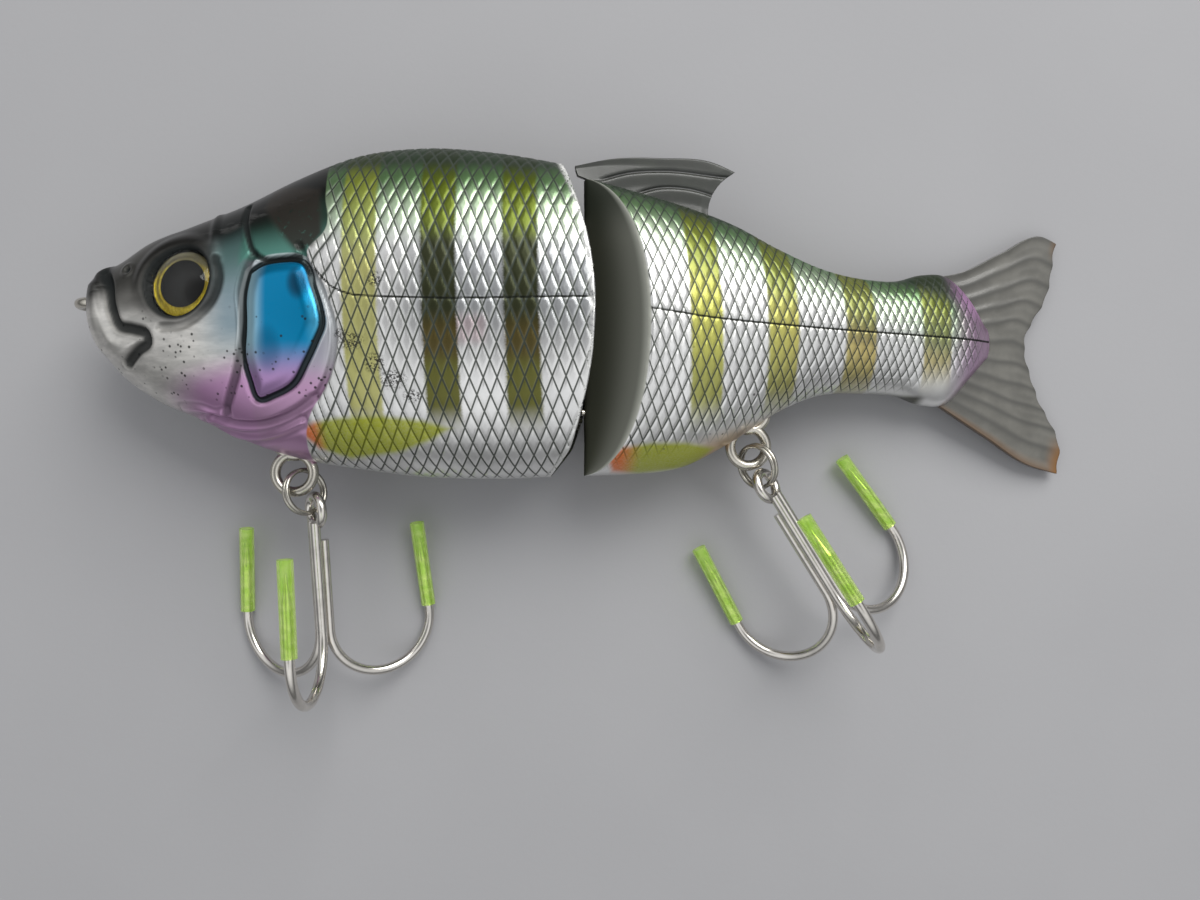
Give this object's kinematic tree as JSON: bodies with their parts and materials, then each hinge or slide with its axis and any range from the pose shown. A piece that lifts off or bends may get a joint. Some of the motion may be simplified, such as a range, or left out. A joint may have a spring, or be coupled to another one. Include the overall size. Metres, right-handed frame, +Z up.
{
  "type": "jointed swimbait",
  "caption": "Jointed hard-body glide bait with a swinging tail section, soft fins, wire line tie and capped treble hooks on split rings.",
  "frame": {"origin": "bottom centre of the lure as it lies on its right flank", "axes": "+X from snout to tail, +Y from belly to back, +Z up through the left flank"},
  "size_m": [0.163, 0.088, 0.0298],
  "materials": {
    "painted_shell": "airbrushed fish paint under clear gloss",
    "eye_foil": "gold foil ring round a black pupil",
    "eye_dome": "clear cast dome",
    "weight_metal": "plain moulded weight",
    "guard_sleeve": "clear fluorescent soft sleeve",
    "soft_fin": "smoky soft plastic",
    "soft_tail": "smoky soft plastic with orange-brown tips",
    "ring_wire": "dull nickel spring wire",
    "hook_wire": "bright nickel-plated hook wire",
    "fitting_wire": "stainless wire"
  },
  "bodies": {
    "front_section": {"front_shell_left": "painted_shell", "front_shell_right": "painted_shell", "eye_iris_left": "eye_foil", "eye_iris_right": "eye_foil", "eye_lens_left": "eye_dome", "eye_lens_right": "eye_dome", "line_tie": "fitting_wire", "front_hook_hanger": "fitting_wire", "hinge_pin": "fitting_wire", "front_hinge_eye_upper": "fitting_wire", "front_hinge_eye_lower": "fitting_wire", "front_weight": "weight_metal"},
    "tail_section": {"tail_shell_left": "painted_shell", "tail_shell_right": "painted_shell", "dorsal_fin": "soft_fin", "tail_fin": "soft_tail", "rear_hook_hanger": "fitting_wire", "tail_hinge_eye_upper": "fitting_wire", "tail_hinge_eye_lower": "fitting_wire", "tail_weight": "weight_metal"},
    "front_ring": {"front_split_ring": "ring_wire"},
    "front_treble": {"front_treble_double_hook": "hook_wire", "front_treble_third_hook": "hook_wire", "front_point_cap_upper": "guard_sleeve", "front_point_cap_nose_side": "guard_sleeve", "front_point_cap_tail_side": "guard_sleeve"},
    "rear_ring": {"rear_split_ring": "ring_wire"},
    "rear_treble": {"rear_treble_double_hook": "hook_wire", "rear_treble_third_hook": "hook_wire", "rear_point_cap_upper": "guard_sleeve", "rear_point_cap_nose_side": "guard_sleeve", "rear_point_cap_tail_side": "guard_sleeve"}
  },
  "joints": [
    {"name": "tail_swing", "type": "hinge", "parent": "front_section", "child": "tail_section", "pos_m": [-0.00236, 0.02013, 0.01401], "axis": [0, 1, 0], "range_deg": [-30.5, 13.5]},
    {"name": "front_ring_swing", "type": "hinge", "parent": "front_section", "child": "front_ring", "pos_m": [-0.04676, -0.00754, 0.01401], "axis": [0, 0, 1], "range_deg": [-24, 14]},
    {"name": "front_hook_swing", "type": "hinge", "parent": "front_ring", "child": "front_treble", "pos_m": [-0.04381, -0.01359, 0.01238], "axis": [0.5, 0.4749, -0.7242], "range_deg": [-22, 38]},
    {"name": "rear_ring_swing", "type": "hinge", "parent": "tail_section", "child": "rear_ring", "pos_m": [0.02652, -0.00338, 0.0097], "axis": [0.1478, 0, 0.989], "range_deg": [-36, 17]},
    {"name": "rear_hook_swing", "type": "hinge", "parent": "rear_ring", "child": "rear_treble", "pos_m": [0.02935, -0.00972, 0.01085], "axis": [0.5519, 0.3476, 0.758], "range_deg": [-40, 24]}
  ]
}
